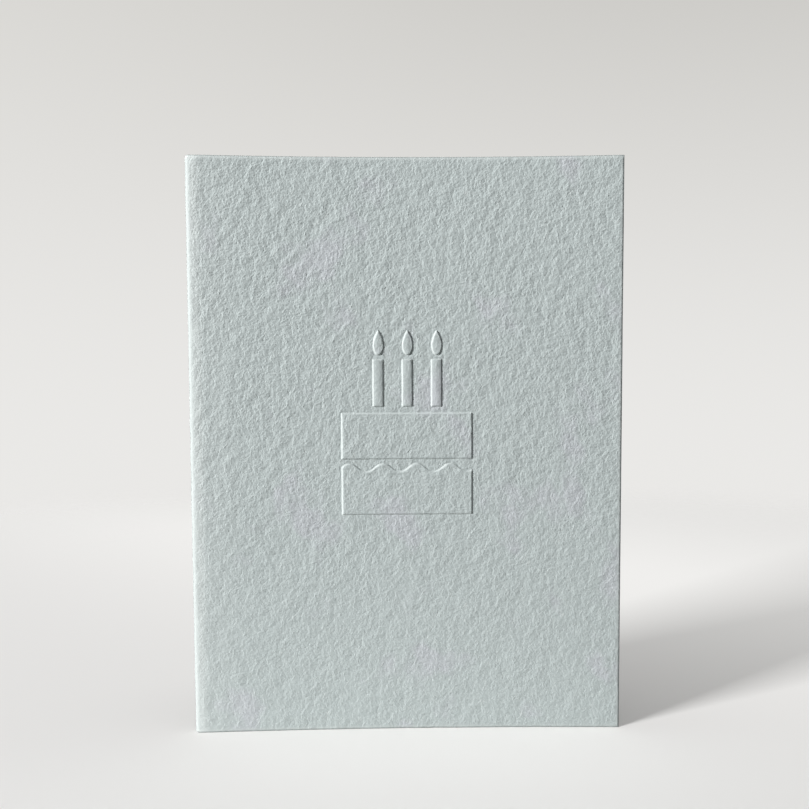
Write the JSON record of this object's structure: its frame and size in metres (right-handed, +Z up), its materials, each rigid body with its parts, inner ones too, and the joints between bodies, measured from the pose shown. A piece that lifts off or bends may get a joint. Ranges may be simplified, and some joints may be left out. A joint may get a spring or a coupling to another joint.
{
  "type": "greeting card",
  "caption": "Folded portrait greeting card in thick felt-marked paper, standing open in a V, with a blind-embossed cake and candles on the front panel.",
  "frame": {"origin": "middle of the card's box, on the surface it stands on", "axes": "+Z up along the fold, front panel facing -Y, fold at -X and free edges towards +X"},
  "size_m": [0.1142, 0.0518, 0.1524],
  "materials": {
    "paper": "matt uncoated cotton paper with a felt-marked tooth, pale blue-grey green"
  },
  "bodies": {
    "root": {"folded_card": "paper"}
  },
  "joints": []
}
